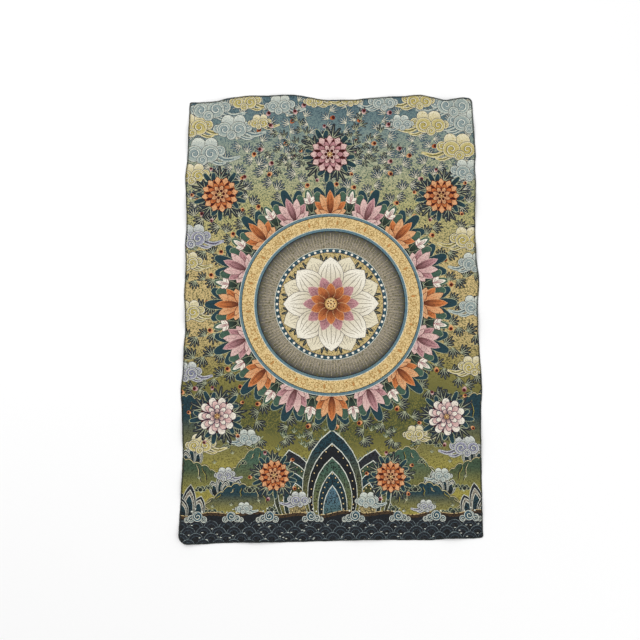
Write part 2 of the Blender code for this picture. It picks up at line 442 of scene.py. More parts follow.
def leafy_stem(start, end, bow, size, buds):
    """A stalk that bows to one side, with sprigs on alternate sides and a bud at its tip."""
    t = np.linspace(0, 1, 7)
    points = start + (end - start) * (t + 1j * bow * np.sin(pi * t))
    line(points, STALK_WIDTH, "leaf line")
    headings = np.degrees(np.angle(np.gradient(points)))
    for i in range(1, 6):
        sprig(points[i], headings[i] + (52 if i % 2 else -52), size, 3, 62)
    sprig(points[-1], headings[-1], 0.9 * size, 3, 100)
    bud(points[-1], headings[-1], 0.62 * size, buds)


def leaf_fan(at, heading, size, lobes=5, spread=110, body="deep teal"):
    """A dark leaf of several round lobes with pale rims, as under a lotus."""
    for _, lean in fan(lobes, spread):
        length = size * (1 - 0.3 * abs(lean) / spread)
        petal(at, heading + lean, length, 0.36 * size, body, "ink", "leaf line", True, 0.8)


print("petals, leaves and buds are ready")

# %% [markdown]
# ## Flowers
#
# Two kinds: a rosette is seen from the front, in rows of petals that get shorter towards its heart, and a
# half lotus is seen from the side. Each stands on a disc of maroon, which shows in the gaps between petals.

# %% Rosette and half lotus
Petals = namedtuple("Petals", "start end count fill body root rim")


def rosette(at, radius, rows, blunt, turn):
    """A flower seen from the front. Starts and ends of its rows are shares of the radius."""
    disc(at, 0.86 * radius, "maroon")
    for n, row in enumerate(rows):
        middle = row.start + 0.62 * (row.end - row.start)
        width = row.fill * 2 * pi * radius * middle / row.count
        for i in range(row.count):
            heading = turn + 360 * (i + n / 2) / row.count
            petal(at + polar(row.start * radius, heading), heading, (row.end - row.start) * radius, width,
                  row.body, row.root, row.rim, blunt, 0.8 + 0.006 * radius)
    disc(at, 0.13 * radius, "gold", "amber", 0.4)
    for i in range(7):
        disc(at + polar(0.085 * radius, 360 * i / 7), 0.022 * radius + 0.3, "maroon")


def half_lotus(at, heading, size, body, root, rim, count=7, spread=150):
    """A lotus seen from the side, with its petals fanned out from one point."""
    disc(at + polar(0.22 * size, heading), 0.3 * size, "maroon")
    for i, lean in fan(count, spread):
        length = size * (1 - 0.34 * (abs(lean) / spread * 2) ** 1.5)
        if i % 2:
            petal(at, heading + lean, length, 0.33 * size, body, root, rim, vein=root, veins=2)
        else:
            petal(at, heading + lean, length, 0.35 * size, rim, body, root, rim_wide=0.7, vein=body)
    for lean in (-62, 62):
        petal(at - polar(0.05 * size, heading), heading + lean, 0.52 * size, 0.2 * size, rim, body, root)


print("a half lotus opens in this order:", [round(lean) for _, lean in fan(7, 150)])


# %% Rows of petals
def full_rows(pale, full, deep):
    """Five rows of petals, two of them dark, to show as gaps."""
    return (
        Petals(0.42, 1.00, 12, 0.90, pale, full, "maroon"),
        Petals(0.34, 0.86, 12, 0.62, "maroon", "maroon", full),
        Petals(0.26, 0.70, 10, 0.84, full, deep, "maroon"),
        Petals(0.16, 0.52, 8, 0.84, pale, deep, "maroon"),
        Petals(0.08, 0.32, 6, 0.90, "maroon", "maroon", pale),
    )


PINK_ROWS = full_rows("shell", "pink", "rose")
ORANGE_ROWS = full_rows("apricot", "orange", "rust")
IVORY_ROWS = (
    Petals(0.42, 1.00, 10, 0.94, "ivory", "pink", "plum"),
    Petals(0.28, 0.80, 9, 0.86, "shell", "rose", "plum"),
    Petals(0.18, 0.60, 8, 0.84, "ivory", "pink", "plum"),
    Petals(0.10, 0.40, 6, 0.90, "shell", "maroon", "plum"),
)
print("rows of petals:", len(PINK_ROWS), len(ORANGE_ROWS), len(IVORY_ROWS))

# %% [markdown]
# ## Scroll clouds
#
# The traditional cloud is a pair of domes over a few curls, with ribbons of mist trailing away. A curl is a
# disc with a pale rim and a spiral line that runs in from the rim.

# %% Clouds
Mist = namedtuple("Mist", "pale body shade deep")

BLUE = Mist("cloud line", "cloud", "cloud shade", "cloud deep")
CREAM = Mist("cream cloud", "dun cloud", "olive cloud", "dark olive")
LILAC = Mist("cloud line", "lilac", "dusk", "plum")

DOMES = ((-0.30, 0.42, 0.42), (0.42, 0.50, 0.36))
CURLS = (
    (-0.98, -0.06, 0.27, 200, 1), (0.92, 0.08, 0.32, 340, -1), (-0.55, -0.10, 0.46, 190, -1),
    (0.36, -0.08, 0.50, 350, 1), (-0.10, -0.46, 0.30, 250, 1),
)


def puff(at, radius, mist, inset, *dyes):
    """A disc of cloud, inside a pale rim and a dark outline."""
    disc(at, radius + 0.9, "leaf")
    disc(at, radius, mist.pale)
    disc(at, radius - inset, *dyes)


def curl(at, radius, heading, mist, way):
    """One volute of a cloud, whose spiral line enters from the rim at the heading."""
    puff(at, radius, mist, 1.1, halo(mist.shade, mist.body, at, radius, 1.5), mist.shade, 0.25)
    path = spiral(at, 0.76 * radius, 1.35 * way, heading, 0.16)
    line(path, 0.16 * radius + 1.3, mist.deep)
    line(path + 0.04 * radius, 0.09 * radius + 0.6, mist.pale)


def ribbon(points, width, mist):
    """A band of mist with a pale rim and a darker line down its middle."""
    line(points, width + 3.6, "leaf")
    line(points, width + 2.0, mist.pale)
    line(points, width, mist.body, mist.shade, 0.3)
    line(points[2:-2], 0.28 * width + 0.4, mist.deep)


def cloud(at, size, mist, way):
    """A whole cloud, about 3 sizes long, that trails off to the right, or to the left where way is -1."""
    def spot(x, y):
        return at + size * complex(way * x, y)
    t = np.linspace(0, 1, 13)
    ribbon([spot(0.1 + 2.0 * s, -0.28 - 0.10 * s + 0.11 * sin(7.5 * s)) for s in t], 0.22 * size, mist)
    ribbon([spot(0.0 + 1.3 * s, -0.60 + 0.09 * sin(6.5 * s)) for s in t], 0.16 * size, mist)
    for x, y, radius in DOMES:
        shade = fade(mist.pale, mist.shade, spot(x, y + radius), spot(x, y - 1.6 * radius))
        puff(spot(x, y), radius * size, mist, 1.0, shade, mist.shade, 0.12)
    for x, y, radius, heading, turn in CURLS:
        curl(spot(x, y), radius * size, heading, mist, turn * way)


print("clouds are ready")

# %% [markdown]
# ## The ground
#
# The picture is a garden with mountains and the sea below it. Dusk blue at the top turns into straw, meadow
# and at last dark water. That one fade is the first shape, cut to the cloth's own outline, and everything
# else lies on it. The panel's edge is set a little inside the cut, where the overlock thread grips it, and
# it wanders by a third of a millimetre, as cloth does between stitches.

# %% The panel's edge and its ground
EDGE_INSET = 0.0006


def inward_normals(ring):
    along = np.roll(ring, -1) - np.roll(ring, 1)
    return 1j * along / np.abs(along)


def distance_along(ring):
    return np.concatenate([[0], np.cumsum(np.abs(np.diff(np.append(ring, ring[0]))))])


lap = distance_along(cut_edge)[:-1] / distance_along(cut_edge)[-1] * 2 * pi
wander = 0.00019 * np.sin(61 * lap + 1) + 0.00011 * np.sin(143 * lap) + 0.00007 * np.sin(227 * lap + 2)
edge = cut_edge + inward_normals(cut_edge) * wander
panel_ring = edge + inward_normals(edge) * EDGE_INSET

GROUND = (
    (-430, "water"), (-380, "deep hill"), (-310, "grass"), (-240, "hill"), (-190, "hill"), (-120, "meadow"),
    (-30, "straw"), (90, "straw"), (210, "olive"), (310, "haze"), (390, "sky"), (450, "night sky"),
)
GROUND_SPECKS = (
    (-430, "ink"), (-370, "leaf"), (-300, "deep hill"), (-250, "moss"), (-170, "moss"), (-110, "deep hill"),
    (-30, "hill"), (90, "hill"), (210, "fresh leaf"), (310, "pine"), (390, "cloud deep"), (450, "deep teal"),
)


def by_height(stops):
    """A colour that changes with the height in the picture, in slightly wavy bands."""
    heights = [height for height, _ in stops]
    shades = np.array([DYES[dye] for _, dye in stops])

    def colour(p):
        level = p.imag + 9 * np.sin(p.real / 47 + 1) + 5 * np.sin(p.real / 19)
        return np.stack([np.interp(level, heights, channel) for channel in shades.T], axis=1)
    return colour


weave(panel_ring * 1000, by_height(GROUND), by_height(GROUND_SPECKS), 0.28)
print("ground: one shape of", len(panel_ring), "points")

# %% [markdown]
# ## Garden
#
# Stalks grow out from the medallion in all directions, to the edges of the cloth or the hills. Each sways as
# it goes, with leaves on alternate sides and now and then a round bud. Stalks that spread apart leave room,
# so further out a second set grows between the first. Leaves differ by seeded chance, the same each time.

# %% Stalks and leaves
HUB = 20j
LEAF_STEP = 18.0
STALKS = 32
GARDEN_LEAF = by_height(((-260, "leaf"), (200, "leaf"), (370, "cloud deep")))
GARDEN_RIB = by_height(((-260, "leaf line"), (150, "leaf line"), (270, "cream cloud")))
chance = np.random.default_rng(20)


def in_garden(p):
    return abs(p.real) < 318 and -262 < p.imag < 470


def stalk(heading, start, sway):
    """One stalk from this distance out to the edge, with its leaves and buds."""
    reach = np.arange(start, 560, LEAF_STEP / 2)
    spine = HUB + polar(1, heading) * (reach + 8j * np.sin(reach / 27 + sway))
    spine = spine[:next((i for i, p in enumerate(spine) if not in_garden(p)), len(spine))]
    if len(spine) < 3:
        return
    weave(line_along(spine, STALK_WIDTH, 0), "leaf line")
    along = np.degrees(np.angle(np.gradient(spine)))
    for n, i in enumerate(range(1, len(spine), 2)):
        side = (1, -1)[n % 2]
        size = 20 + 5 * chance.random()
        if n % 4 == 2:
            dye = ("orange", "rose", "rust")[n // 4 % 3]
            bud(spine[i] + polar(3, along[i] - 60 * side), along[i] - 60 * side, 12, dye)
        sprig(spine[i], along[i] + side * (52 + 14 * chance.random()), size, 5, 96, GARDEN_LEAF, GARDEN_RIB)
    sprig(spine[-1], along[-1], 17, 5, 96, GARDEN_LEAF, GARDEN_RIB)


for i in range(STALKS):
    stalk(360 / STALKS * i + 3 * chance.random(), 200, i)
    stalk(360 / STALKS * i + 5.6 + 3 * chance.random(), 300, i + 2)
print("shapes so far:", len(design))

# %% [markdown]
# ## Mountains and sea
#
# Old robes and hangings often end in the same border: pointed mountains that rise out of rounded waves. The
# peaks are petals again, stood on end and nested in bands. Waves are half rings in rows, and each row hides
# the feet of the one above it.

# %% Bushes and hills
BUSH_HEADS = ((-0.9, 0.1, 0.5), (0.9, 0.1, 0.5), (-0.45, 0.55, 0.55), (0.5, 0.5, 0.5), (0, 0.15, 0.6))
HILL_RIMS = ((3.2, "ink"), (2.2, "dun cloud"), (0.7, "ink"))
HILL_TUFTS = ((-0.26, 0.25), (-0.12, 0.5), (0.1, 0.36), (0.25, 0.3), (-0.14, 0.12))
CREASES = 11


def bush(at, size):
    """A dark shrub of round heads, each a little lighter at its top left."""
    for x, y, radius in BUSH_HEADS:
        middle = at + size * complex(x, y)
        light = middle + radius * size * (-0.3 + 0.4j)
        disc(middle, radius * size, "leaf line")
        disc(middle, radius * size - 0.7, halo("fresh leaf", "ink", light, 1.1 * radius * size), "leaf", 0.3)


def hill(foot, width, height, top, base):
    """A round hill with a pale rim, shaded from its top to its foot, with creases and tufts of grass."""
    scallops = round(width / 17)
    x = np.linspace(-0.5, 0.5, 5 * scallops + 1)
    ridge = width * x + 1j * height * np.cos(pi * x) ** 1.5 * (1 + 0.06 * np.sin(19 * x))
    ridge += 4.5j * np.abs(np.sin(pi * scallops * (x + 0.5))) ** 0.7
    ends = np.array([0.5 - 0.1j, -0.5 - 0.1j]) * width
    for rise, dye in HILL_RIMS:
        weave(foot + np.concatenate([ridge + 1j * rise, ends]), dye)
    weave(foot + np.concatenate([ridge, ends]), fade(base, top, foot, foot + 0.75j * height), share=0.28)
    t = np.linspace(0, 1, 7)
    for n in range(CREASES):
        x = (n - 5) / 12 + 0.02 * sin(9 * n)
        crease = x * (1 + 0.3 * t) + 0.006 * np.sin(9 * t + 2 * n)
        fall = 0.97 - (0.34 + 0.2 * sin(5 * n)) * t
        crease = foot + width * crease + 1j * height * cos(pi * x) ** 1.5 * fall
        weave(line_along(crease, 2.8, 0.6), "ink", "leaf", 0.3)
        weave(line_along(crease + 1.3, 1.2, 0.6), ("dun cloud", "grass")[n % 2])
    for x, y in HILL_TUFTS:
        sprig(foot + complex(x * width, y * height), 90 + 60 * x, 9, 3, 80)


print("a bush has", len(BUSH_HEADS), "heads, and a hill", CREASES, "creases")

# %% Peaks and rocks
BLUE_BANDS = (
    ("moss", "deep teal"), ("ink", "water"), ("moss", "pine"), ("ink", "deep teal"), ("pine", "teal"),
)
GREEN_BANDS = (("hill", "leaf"), ("meadow", "fresh leaf"), ("deep hill", "deep teal"), ("straw", "hill"))
ROCK_BANDS = (("ink", "leaf"), ("water", "slate"), ("ink", "deep teal"))
CRAGS = ((-0.7, 1.0, 16), (0.75, 0.9, -18), (-0.3, 1.5, 6), (0.3, 1.3, -6), (0, 0.9, 0))


def peak(foot, height, width, lean, bands):
    """A pointed peak of nested bands, each with a pale rim. A band is its dyes at the foot and the top."""
    turn = polar(1, 90 + lean)
    rim = 0.45 + 0.003 * height
    for n, (low, high) in enumerate(bands):
        tall, wide = height * (1 - 0.13 * n), width * (1 - 0.17 * n)
        weave(foot + turn * petal_ring(tall, wide, steps=10), "cloud line")
        inside = petal_ring(tall - 2.4 * rim, wide - 2 * rim, steps=10)
        shade = fade(low, high, foot + turn * 0.2 * tall, foot + turn * 0.8 * tall)
        weave(foot + turn * inside, shade, "ink", 0.3)
        if n % 2 and height > 100:
            for bead in petal_ring(tall - 8, wide - 15, steps=14)[3:-3]:
                disc(foot + turn * (bead + 2), 1.3, "gold")


def rocks(at, size):
    """A cluster of small dark crags."""
    for x, tall, lean in CRAGS:
        peak(at + complex(x, -0.3 * tall) * size, 1.5 * tall * size, 0.8 * size, lean, ROCK_BANDS)


print("peaks have", len(BLUE_BANDS), "or", len(GREEN_BANDS), "bands, and crags", len(ROCK_BANDS))

# %% The shore
NEAR_BUSHES = (
    (262, -352, 8), (246, -348, 6), (150, -352, 7), (164, -354, 9), (120, -392, 8), (238, -398, 9),
    (222, -400, 7), (178, -398, 6),
)
FAR_BUSHES = ((196, -262, 8), (212, -268, 6), (236, -232, 7), (60, -296, 7), (178, -300, 6))
TUFTS = 52


def bushes(rows):
    for x, y, size in rows:
        bush(complex(x, y), size)


def shore():
    hill(276 - 318j, 300, 146, "deep teal", "grass")
    rocks(292 - 300j, 26)
    hill(140 - 352j, 210, 76, "pine", "moss")
    bushes(FAR_BUSHES)
    hill(292 - 366j, 230, 72, "fresh leaf", "grass")
    rocks(212 - 358j, 24)
    hill(176 - 404j, 250, 58, "deep teal", "grass")
    hill(300 - 412j, 160, 50, "deep teal", "hill")
    rocks(300 - 404j, 36)
    rocks(84 - 404j, 26)
    bushes(NEAR_BUSHES)


for _ in range(TUFTS):
    tuft = complex(340 * chance.random() - 170, -232 - 100 * chance.random())
    sprig(tuft, 80 + 20 * chance.random(), 13, 3, 80, "fresh leaf")
on_both_sides(shore)
on_both_sides(lambda: peak(54 - 440j, 170, 92, -11, GREEN_BANDS))
peak(-445j, 212, 116, 0, BLUE_BANDS)
print("shapes so far:", len(design))

# %% Waves
SEA_LEVEL = -404
WAVE_RINGS = ((15, "cloud shade"), (14.3, "water"), (9.2, "cloud deep"), (8.6, "ink"))
WAVE_ARC = np.linspace(0, 180, 8)
WAVE_PITCH = 30
SEA_HALF, SEA_BED = 330, 500
SHORE_LINES = ((7, "gold"), (6, "bank"), (0, "water"))
SURF = Mist("cloud line", "teal", "deep teal", "ink")
CRESTS = ((1.5, -0.15, 0.36), (0.95, 0.0, 0.48), (-0.75, -0.1, 0.42), (0.1, 0.3, 0.66))
FOAM = ((0.85, 0.95, 0.12), (0.35, 1.3, 0.1), (-0.5, 0.9, 0.1))
BREAKERS = (
    (46, 15, -1), (-44, 14, 1), (128, 14, 1), (-124, 15, -1), (206, 15, -1), (-202, 14, 1), (268, 15, 1),
    (-266, 15, -1),
)


def breaker(at, size, way):
    """A crest of the sea in a few curls, with drops of foam."""
    for x, y, radius in CRESTS:
        curl(at + size * complex(way * x, y), radius * size, 90, SURF, -way)
    for x, y, radius in FOAM:
        disc(at + size * complex(way * x, y), radius * size, "cloud line")


surface = np.linspace(-SEA_HALF, SEA_HALF, 67)
surface = surface + 1j * (SEA_LEVEL + 3 * np.sin(surface / 14) + 2 * np.sin(surface / 37))
for rise, dye in SHORE_LINES:
    bed = [complex(SEA_HALF, -SEA_BED), complex(-SEA_HALF, -SEA_BED)]
    weave(np.concatenate([surface + 1j * rise, bed]), dye, "ink", 0.3)
for row in range(5):
    for column in range(-11, 12):
        foot = complex(WAVE_PITCH * (column + 0.5 * (row % 2)), SEA_LEVEL - 22 - 12 * row)
        for radius, dye in WAVE_RINGS:
            weave(foot + polar(radius, WAVE_ARC), dye, "leaf", 0.3)
        for _ in range(2):
            spray = foot + complex(26 * chance.random() - 13, 12 * chance.random() - 6)
            weave(spray + np.array([-2.6, -0.9j, 2.6, 0.9j]), "cloud line")
for x, size, way in BREAKERS:
    breaker(complex(x, SEA_LEVEL - 4), size, way)
print("shapes so far:", len(design))

# %% [markdown]
# ## Sky
#
# Clouds gather in the top corners and thin out towards the middle. They are set one by one, and the two
# sides differ a little, as a drawn pair always does. Small ones drift down the sides and over the hills.

# %% Clouds in their places
CLOUDS = (
    (-284 + 396j, 33, CREAM, 1), (288 + 402j, 34, BLUE, -1),
    (-250 + 434j, 35, BLUE, 1), (256 + 440j, 36, BLUE, -1),
    (-176 + 450j, 27, CREAM, 1), (186 + 450j, 28, CREAM, -1),
    (-202 + 392j, 33, BLUE, 1), (208 + 398j, 33, CREAM, -1),
    (-104 + 440j, 26, BLUE, 1), (112 + 446j, 25, BLUE, -1),
    (-146 + 404j, 20, CREAM, 1), (150 + 400j, 21, BLUE, -1),
    (-30 + 450j, 20, CREAM, 1), (42 + 452j, 21, CREAM, -1),
    (-262 + 340j, 36, BLUE, 1), (266 + 346j, 36, CREAM, -1),
    (-284 + 292j, 28, CREAM, 1), (286 + 296j, 29, BLUE, -1),
    (-284 + 160j, 31, LILAC, 1), (282 + 152j, 30, CREAM, -1),
    (-292 + 108j, 24, CREAM, 1), (292 + 102j, 25, BLUE, -1),
    (-290 + 6j, 27, CREAM, 1), (294 + 12j, 27, BLUE, -1),
    (-292 - 118j, 25, LILAC, 1), (286 - 110j, 25, CREAM, -1),
    (-262 - 262j, 25, CREAM, 1), (266 - 270j, 26, LILAC, -1),
    (-168 - 250j, 20, BLUE, -1), (166 - 244j, 20, CREAM, 1),
    (-66 - 372j, 19, LILAC, -1), (68 - 374j, 19, BLUE, 1),
    (-214 - 322j, 17, LILAC, 1), (218 - 326j, 17, BLUE, -1),
    (-176 - 388j, 14, BLUE, 1), (186 - 386j, 15, LILAC, -1),
)
for row in CLOUDS:
    cloud(*row)
print("clouds:", len(CLOUDS), "shapes so far:", len(design))

# %% [markdown]
# ## The medallion
#
# A great round flower fills the middle. It is drawn from the outside in, so each disc covers the roots of
# what lies outside it: a wreath of dark leaves and half lotuses, a gold band with tendrils, a grey one with
# fine rays, a string of pearls, and then four rows of petals round a seed pod.

# %% The wreath
WREATH_RADIUS = 226
LOTUSES = 16
HALF_STEP = 180 / LOTUSES
LOTUS_DYES = (("orange", "maroon", "apricot"), ("pink", "maroon", "shell"))


def hub_point(radius, heading):
    return HUB + polar(radius, heading)


def all_round(count, draw, turn=0.0):
    """Draws something this many times round the hub. It gets its number and heading."""
    for i in range(count):
        draw(i, turn + 360 * i / count)


def small_lotus(i, heading):
    half_lotus(hub_point(214, heading), heading, 26, "ivory", "rose", "ivory", 3, 80)


def great_lotus(i, heading):
    half_lotus(hub_point(186, heading), heading, 52, *LOTUS_DYES[i % 2])


disc(HUB, WREATH_RADIUS, "ink", "deep teal", 0.3)
all_round(LOTUSES, lambda i, h: leaf_fan(hub_point(194, h), h, 64, spread=130), 90)
all_round(LOTUSES, lambda i, h: leaf_fan(hub_point(192, h), h, 52, body="pine"), 90 + HALF_STEP)
all_round(LOTUSES, small_lotus, 90 + HALF_STEP)
all_round(LOTUSES, great_lotus, 90)
print("shapes so far:", len(design))


# %% The bands
GOLD_RADIUS, GREY_RADIUS, STRING_RADIUS, FIELD_RADIUS = 181, 150, 114, 106
CORD = 6


def plate(radius, rim, *dyes):
    """A disc of the medallion, with a thin rim."""
    disc(HUB, radius + 1.1, rim)
    disc(HUB, radius, *dyes)


def tendril(i, heading):
    """A small scroll with a leaf in the gold band."""
    way = (1, -1)[i % 2]
    line(spiral(hub_point(169, heading), 7.8, 1.2 * way, heading + 90 * way, 0.2, 12), 1.5,
         "old gold", "amber", 0.3)
    weave(HUB + polar(1, heading + 5 * way) * (163 + petal_ring(12, 5, steps=4)), "amber", "old gold", 0.4)


def ray(i, heading):
    reach = (147, 140, 144)[i % 3]
    middle = 0.5 * (STRING_RADIUS + reach) + 0.5j
    line(HUB + polar(1, heading) * np.array([STRING_RADIUS, middle, reach]), 0.9, "buff", "slate", 0.5)


plate(GOLD_RADIUS + CORD, "cloud line", "teal", "sky", 0.3)
plate(GOLD_RADIUS, "ink", "gold", "old gold", 0.3)
all_round(36, tendril)
plate(GREY_RADIUS + CORD, "cloud line", "teal", "sky", 0.3)
plate(GREY_RADIUS, "ink", halo("slate", "leaf", HUB, GREY_RADIUS, 9), "dark olive", 0.24)
all_round(144, ray)
plate(STRING_RADIUS, "cloud line", "deep teal", "teal", 0.2)
all_round(54, lambda i, h: disc(hub_point(110, h), 2.6, "ivory", "cream"))
plate(FIELD_RADIUS, "plum", halo("olive", "straw", HUB, FIELD_RADIUS), "hill", 0.25)
print("shapes so far:", len(design))


# %% The great flower
def great_petals(count, turn, start, end, wide, dyes, vein, veins, share=0.16):
    """A ring of petals of the great flower, in its dyes of body, root and rim."""
    def draw(i, heading):
        petal(hub_point(start, heading), heading, end - start, wide, *dyes, False, 0.8, vein, veins, share)
    all_round(count, draw, turn)


all_round(16, lambda i, h: sprig(hub_point(78, h), h, 26, 5, 120), 11.25)
great_petals(8, 22.5, 30, 105, 52, ("cream", "buff", "plum"), "slate", 5, 0.05)
great_petals(8, 0, 24, 98, 52, ("ivory", "buff", "plum"), "slate", 5, 0.04)
disc(HUB, 42, "maroon")
great_petals(10, 0, 14, 58, 24, ("pink", "maroon", "shell"), "rose", 3)
great_petals(10, 18, 10, 43, 19, ("orange", "maroon", "apricot"), "rust", 1)
plate(13, "maroon", "old gold", "amber", 0.3)
disc(HUB, 11, "gold", "amber", 0.3)
all_round(8, lambda i, h: disc(hub_point(7, h), 1.5, "maroon"))
disc(HUB, 1.8, "maroon")
print("shapes so far:", len(design))

# %% [markdown]
# ## The flowers round it
#
# Seven rosettes lie between the medallion and the edges. Each has a collar of leaves, drawn before the
# flower so that the petals cover the stalks.

# %% Rosettes with their leaves
TOP_FLOWER = 334j
FLOWERS = (
    (TOP_FLOWER, 42, PINK_ROWS, 0), (-228 + 250j, 39, ORANGE_ROWS, 9), (230 + 244j, 38, ORANGE_ROWS, 0),
    (-230 - 206j, 39, IVORY_ROWS, 0), (230 - 210j, 38, IVORY_ROWS, 20), (-116 - 324j, 32, ORANGE_ROWS, 12),
    (116 - 328j, 32, ORANGE_ROWS, 0),
)
TOP_STEMS = ((118, 392, -0.12), (138, 344, -0.05), (120, 296, 0.12), (70, 420, -0.1))
BUD_DYES = ("orange", "rose")

for at, radius, rows, turn in FLOWERS:
    for i in range(10):
        heading = turn + 36 * i + 10
        if i % 2:
            leaf_fan(at + polar(0.62 * radius, heading), heading, 0.84 * radius, 3, 80)
        else:
            sprig(at + polar(0.8 * radius, heading), heading, 0.8 * radius, 5, 120)
            bud(at + polar(1.35 * radius, heading + 20), heading, 9, BUD_DYES[i // 2 % 2])
    rosette(at, radius, rows, rows is IVORY_ROWS, turn)
for way in (1, -1):
    for reach, height, bow in TOP_STEMS:
        start = TOP_FLOWER + polar(40, 90 - way * (90 - 0.45 * (height - TOP_FLOWER.imag)))
        leafy_stem(start, complex(way * reach, height), way * bow, 19, BUD_DYES[reach % 4 // 2])
print("design:", len(design), "shapes,", sum(len(s.ring) for s in design), "points")

# %% [markdown]
# ## The cloth
#
# The outlines overlap, and only what lies on top should stay. A Delaunay triangulation does the cutting: it
# splits the rings where they cross and says for each triangle which shapes it lies in. The last of those is
# on top. An edge with the same shape on both sides doesn't show, so a second round keeps only the edges that
# do, and adds points in between that let the cloth bend.

# %% Cut the shapes into one sheet
CROSSING = 0.0001
LEAST_EDGE = 0.02
LONGEST_EDGE = 9.0
STRAIGHT = 0.07
SHORTEST_EDGE = 0.0005
BEND_PITCH = 10.0
BOX_HALF_WIDE, BOX_HALF_LONG = 320, 475


def edge_pairs(faces):
    return np.concatenate([faces[:, [0, 1]], faces[:, [1, 2]], faces[:, [2, 0]]])


def triangulate(p, edges, rings, nearest):
    """Triangles inside the first ring: the points, the triangles, and the rings and input points they had."""
    flat = [Vector((z.real, z.imag)) for z in p]
    places, _, found, came_from, _, owners = delaunay_2d_cdt(flat, edges, rings, 0, nearest, True)
    within = [i for i, owner in enumerate(owners) if 0 in owner]
    places = np.array([complex(v[0], v[1]) for v in places])
    return places, np.array([found[i] for i in within]), [owners[i] for i in within], came_from


starts = np.cumsum([0] + [len(s.ring) for s in design])
rings = [list(range(a, b)) for a, b in zip(starts, starts[1:])]
crossed, faces, owners, _ = triangulate(np.concatenate([s.ring for s in design]), [], rings, CROSSING)
top_shape = np.array([max(owner) for owner in owners])
finder = BVHTree.FromPolygons([(z.real, z.imag, 0) for z in crossed.tolist()], faces.tolist())

pairs, place_in, sides = np.unique(np.sort(edge_pairs(faces), axis=1), axis=0, return_inverse=True,
                                  return_counts=True)
lowest, highest = np.full(len(pairs), len(design)), np.zeros(len(pairs), int)
np.minimum.at(lowest, place_in.ravel(), np.tile(top_shape, 3))
np.maximum.at(highest, place_in.ravel(), np.tile(top_shape, 3))
shown = pairs[(lowest != highest) | (sides == 1)].tolist()
print("cut:", len(design), "shapes into", len(faces), "triangles, with", len(shown), "edges that show")


# %% Keep what shows
def lattice(pitch):
    """Points all over the panel, every other row half a step aside."""
    rows = np.arange(-BOX_HALF_LONG, BOX_HALF_LONG, pitch * 0.87)
    columns = np.arange(-BOX_HALF_WIDE, BOX_HALF_WIDE, pitch)
    points = np.concatenate([columns + pitch / 2 * (i % 2) + 1j * y for i, y in enumerate(rows)])
    return points[[finder.ray_cast((z.real, z.imag, 1), (0, 0, -1))[2] is not None for z in points]]


def straightened(edges, places, slack):
    """Leaves out the points of these edges that lie on a straight line between their two neighbours."""
    beside = {}
    for a, b in edges:
        beside.setdefault(a, []).append(b)
        beside.setdefault(b, []).append(a)
    for point in sorted(beside):
        if len(beside[point]) != 2:
            continue
        a, b = beside[point]
        chord = places[b] - places[a]
        aside = abs((chord.conjugate() * (places[point] - places[a])).imag) / max(abs(chord), 1e-9)
        if aside < slack and abs(chord) < LONGEST_EDGE and b not in beside[a]:
            beside[a][beside[a].index(point)] = b
            beside[b][beside[b].index(point)] = a
            del beside[point]
    return [(a, b) for a in beside for b in beside[a] if a < b]


def rim_of(faces):
    """The points round the outside, in order, from the edges that have a triangle on one side only."""
    directed = {tuple(pair) for pair in edge_pairs(faces).tolist()}
    following = {a: b for a, b in directed if (b, a) not in directed}
    rim = [min(following)]
    while following[rim[-1]] != rim[0]:
        rim.append(following[rim[-1]])
    return rim


outline = rim_of(faces)
shown = straightened(shown, crossed.tolist(), STRAIGHT)
kept = sorted({point for pair in shown for point in pair})
number = {point: i for i, point in enumerate(kept)}
front, front_faces, _, _ = triangulate(
    np.concatenate([crossed[kept], lattice(BEND_PITCH)]), [(number[a], number[b]) for a, b in shown],
    [[number[point] for point in outline if point in number]], LEAST_EDGE,
)
same = np.arange(len(front))
ends = np.unique(np.sort(edge_pairs(front_faces), axis=1), axis=0)
for a, b in ends[np.abs(front[ends[:, 0]] - front[ends[:, 1]]) < SHORTEST_EDGE]:
    same[b] = same[a]
front_faces = same[front_faces]
front_faces = front_faces[(front_faces != np.roll(front_faces, 1, axis=1)).all(axis=1)]
used, front_faces = np.unique(front_faces, return_inverse=True)
front, front_faces = front[used], front_faces.reshape(-1, 3)
print("front:", len(front), "points,", len(front_faces), "triangles")


# %% The rim and the underside
UNDER_PITCH = 8.0
SEAM_INSET = 3.4
CLEAR_OF_SEAM = 2

rim = np.array(rim_of(front_faces))
after = np.roll(np.arange(len(rim)), -1)
rim_points = front[rim]
seam = panel_ring * 1000 + inward_normals(panel_ring) * SEAM_INSET
rim_tree = BVHTree.FromPolygons(
    [(z.real, z.imag, h) for h in (-1, 1) for z in rim_points],
    [(i, j, len(rim) + j, len(rim) + i) for i, j in enumerate(after.tolist())],
)


def from_rim(p):
    """How far each point is from the rim, in millimetres."""
    return np.array([rim_tree.find_nearest((z.real, z.imag, 0))[3] for z in p])


inner = lattice(UNDER_PITCH)
inner = inner[from_rim(inner) > SEAM_INSET + CLEAR_OF_SEAM]
back, back_faces, _, came_from = triangulate(
    np.concatenate([rim_points, seam, inner]), [], [list(range(len(rim)))], CROSSING
)
back_rim = np.zeros(len(rim), int)
for i, sources in enumerate(came_from):
    for source in sources:
        if source < len(rim):
            back_rim[source] = i
print("rim:", len(rim), "points, underside:", len(back_faces), "triangles")

# %% [markdown]
# ## Thickness, folds and thread colours
#
# The upper side follows the ripples one cloth's thickness above the underside, with shallow puckers on top.
# The underside steps up near the rim, because the overlock squeezes the cloth there. Both colours of every
# corner are stored on the mesh, and the share of the second is kept in its alpha. Between the floats of the
# underside a grey undyed thread shows, so the colours there are duller and blurred.

